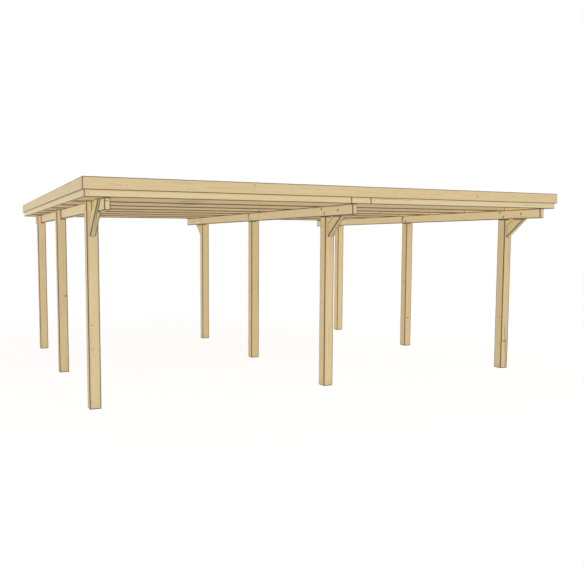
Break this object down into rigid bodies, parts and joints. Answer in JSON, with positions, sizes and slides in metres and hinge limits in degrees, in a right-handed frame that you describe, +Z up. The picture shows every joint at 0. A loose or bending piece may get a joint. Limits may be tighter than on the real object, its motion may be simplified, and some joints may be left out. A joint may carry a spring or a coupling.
{
  "type": "double timber carport",
  "caption": "Open timber carport with a flat roof on rows of square notched posts, with purlins, knee braces and a stepped fascia.",
  "frame": {"origin": "on the ground under the middle of the roof", "axes": "+X to the right along the wide open front, +Y from the front to the back, +Z up"},
  "size_m": [5.9, 5.56, 2.305],
  "materials": {
    "frame": "planed, untreated",
    "fascia": "planed, untreated",
    "deck": "planed, untreated",
    "sheet": "matt"
  },
  "bodies": {
    "root": {"post_front_left": "frame", "post_front_middle": "frame", "post_front_right": "frame", "post_centre_left": "frame", "post_centre_middle": "frame", "post_centre_right": "frame", "post_back_left": "frame", "post_back_middle": "frame", "post_back_right": "frame", "purlin_left_front": "frame", "purlin_left_back": "frame", "purlin_middle_front": "frame", "purlin_middle_back": "frame", "purlin_right_front": "frame", "purlin_right_back": "frame", "brace_left_front": "frame", "brace_left_back": "frame", "brace_middle_front": "frame", "brace_middle_back": "frame", "brace_right_front": "frame", "brace_right_back": "frame", "rafter_1": "frame", "rafter_2": "frame", "rafter_3": "frame", "rafter_4": "frame", "rafter_5": "frame", "rafter_6": "frame", "rafter_7": "frame", "rafter_8": "frame", "lower_fascia_front_left": "fascia", "lower_fascia_front_infill": "fascia", "lower_fascia_front_right": "fascia", "lower_fascia_back_left": "fascia", "lower_fascia_back_infill": "fascia", "lower_fascia_back_right": "fascia", "lower_fascia_left_front": "fascia", "lower_fascia_left_back": "fascia", "lower_fascia_right_front": "fascia", "lower_fascia_right_back": "fascia", "upper_fascia_front": "fascia", "upper_fascia_back": "fascia", "upper_fascia_left": "fascia", "upper_fascia_right": "fascia", "roof_deck": "deck", "roofing_sheet": "sheet"}
  },
  "joints": []
}
